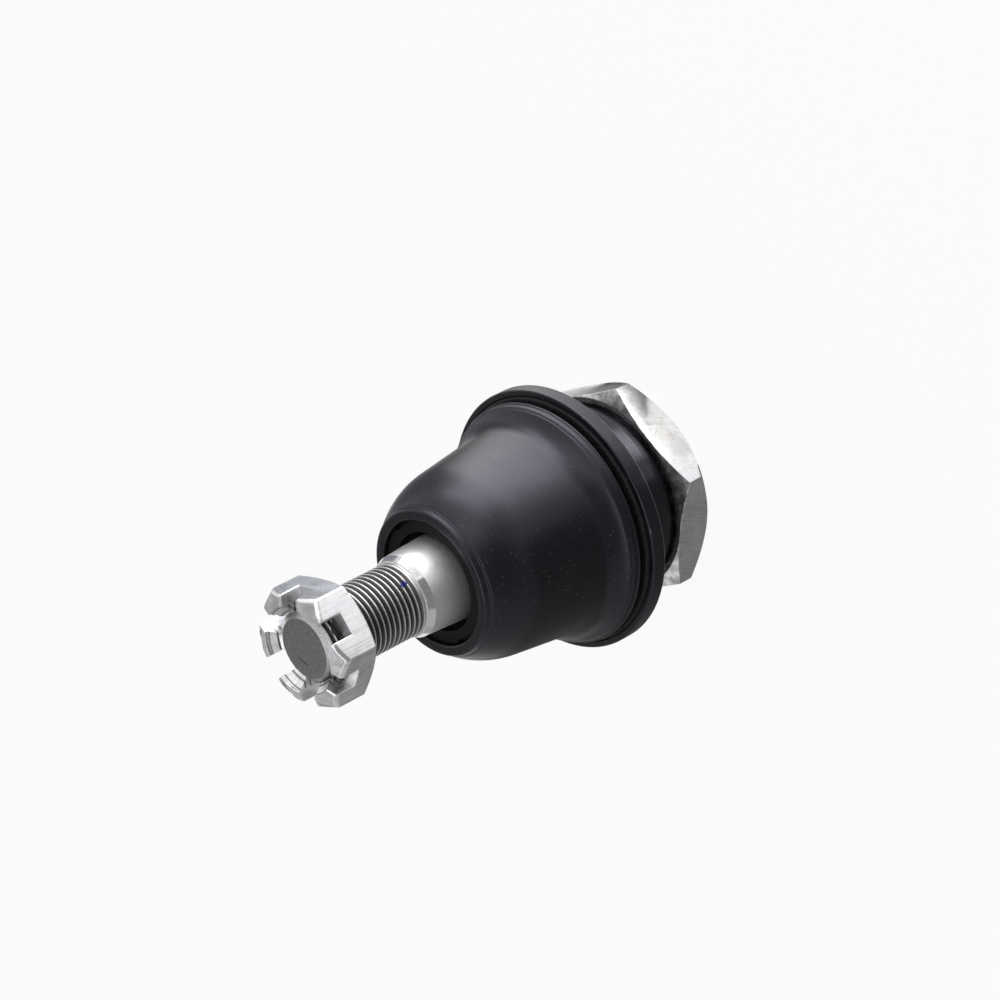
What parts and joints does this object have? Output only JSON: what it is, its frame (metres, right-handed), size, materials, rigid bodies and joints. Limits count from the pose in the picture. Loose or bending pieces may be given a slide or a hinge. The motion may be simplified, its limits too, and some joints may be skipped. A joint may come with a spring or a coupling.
{
  "type": "suspension ball joint",
  "caption": "Suspension ball joint: flanged housing with a lock nut behind, tapered threaded stud that swings and turns on a ball, rubber dust boot and castle nut.",
  "frame": {"origin": "centre of the lock nut's rear face, on the stud's axis; the ball's centre is 23.0 mm above it", "axes": "+Z along the stud at rest, from the lock nut to the castle nut; X through a corner of the castle nut, Y along the cotter hole"},
  "size_m": [0.0654, 0.0654, 0.1093],
  "materials": {
    "black_coat": "satin black coat on steel",
    "zinc_plate": "bright zinc plate over machined steel",
    "bare_steel": "turned and ground bare steel",
    "inner_steel": "oiled steel",
    "boot_rubber": "satin moulded rubber",
    "ring_plastic": "matt black moulded plastic",
    "seat_plastic": "smooth bearing plastic"
  },
  "bodies": {
    "housing": {"housing": "black_coat", "lock_nut": "zinc_plate", "boot_retaining_ring": "black_coat", "dust_boot": "boot_rubber", "pressure_plate": "inner_steel", "disc_spring": "inner_steel", "cover_seal": "boot_rubber", "end_cover": "inner_steel", "snap_ring": "inner_steel"},
    "bearing_shells": {"upper_seat": "seat_plastic", "lower_seat": "seat_plastic"},
    "boot_mouth": {"boot_mouth_ring": "ring_plastic"},
    "stud": {"ball_stud": "bare_steel", "castle_nut": "zinc_plate"}
  },
  "joints": [
    {"name": "shell_turn", "type": "hinge", "parent": "housing", "child": "bearing_shells", "pos_m": [0, 0, 0.023], "axis": [0, 0, 1], "continuous": true},
    {"name": "stud_tilt", "type": "hinge", "parent": "bearing_shells", "child": "boot_mouth", "pos_m": [0, 0, 0.023], "axis": [1, 0, 0], "range_deg": [-20, 20], "deforming": ["dust_boot"]},
    {"name": "stud_spin", "type": "hinge", "parent": "boot_mouth", "child": "stud", "pos_m": [0, 0, 0.023], "axis": [0, 0, 1], "continuous": true}
  ]
}
